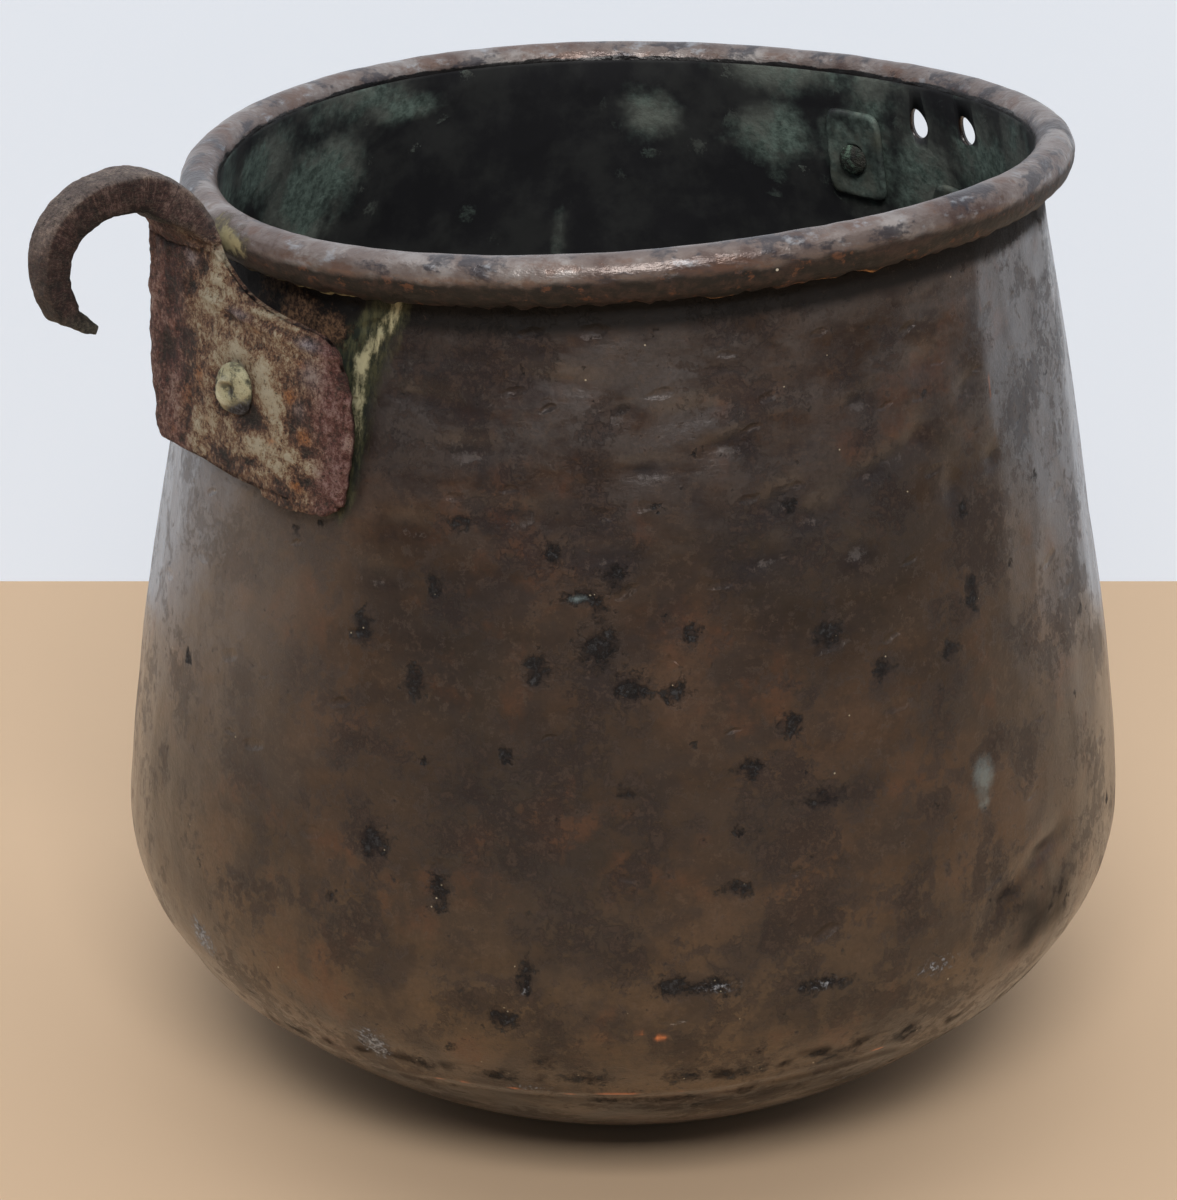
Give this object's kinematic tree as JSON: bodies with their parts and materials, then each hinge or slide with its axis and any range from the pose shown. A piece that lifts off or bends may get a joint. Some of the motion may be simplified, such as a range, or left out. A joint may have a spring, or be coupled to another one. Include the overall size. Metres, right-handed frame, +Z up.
{
  "type": "cooking pot",
  "caption": "Beaten copper cooking pot with a bellied wall, a rim rolled over iron wire and a riveted iron hook ear.",
  "frame": {"origin": "middle of the flat under the base, on the surface that the pot stands on", "axes": "+Z up along the pot's axis, -Y towards the front of the picture, the hook ear to the front left"},
  "size_m": [0.2543, 0.2462, 0.2397],
  "materials": {
    "copper_sheet": "dark brown copper patina, pitted and hammered",
    "iron_wire": "rusted iron wire",
    "forged_iron": "rusted forged iron with orange and cream crust",
    "copper_rivet": "copper rivet with pale green crust",
    "green_copper": "dark copper with green verdigris"
  },
  "bodies": {
    "root": {"pot_body": "copper_sheet", "rim_wire": "iron_wire", "ear_hook": "forged_iron", "ear_rivet": "copper_rivet", "ear_rove": "green_copper", "patch_plate": "green_copper", "patch_rivet": "copper_rivet", "lost_ear_rove": "green_copper", "lost_ear_rivet": "copper_rivet"}
  },
  "joints": []
}
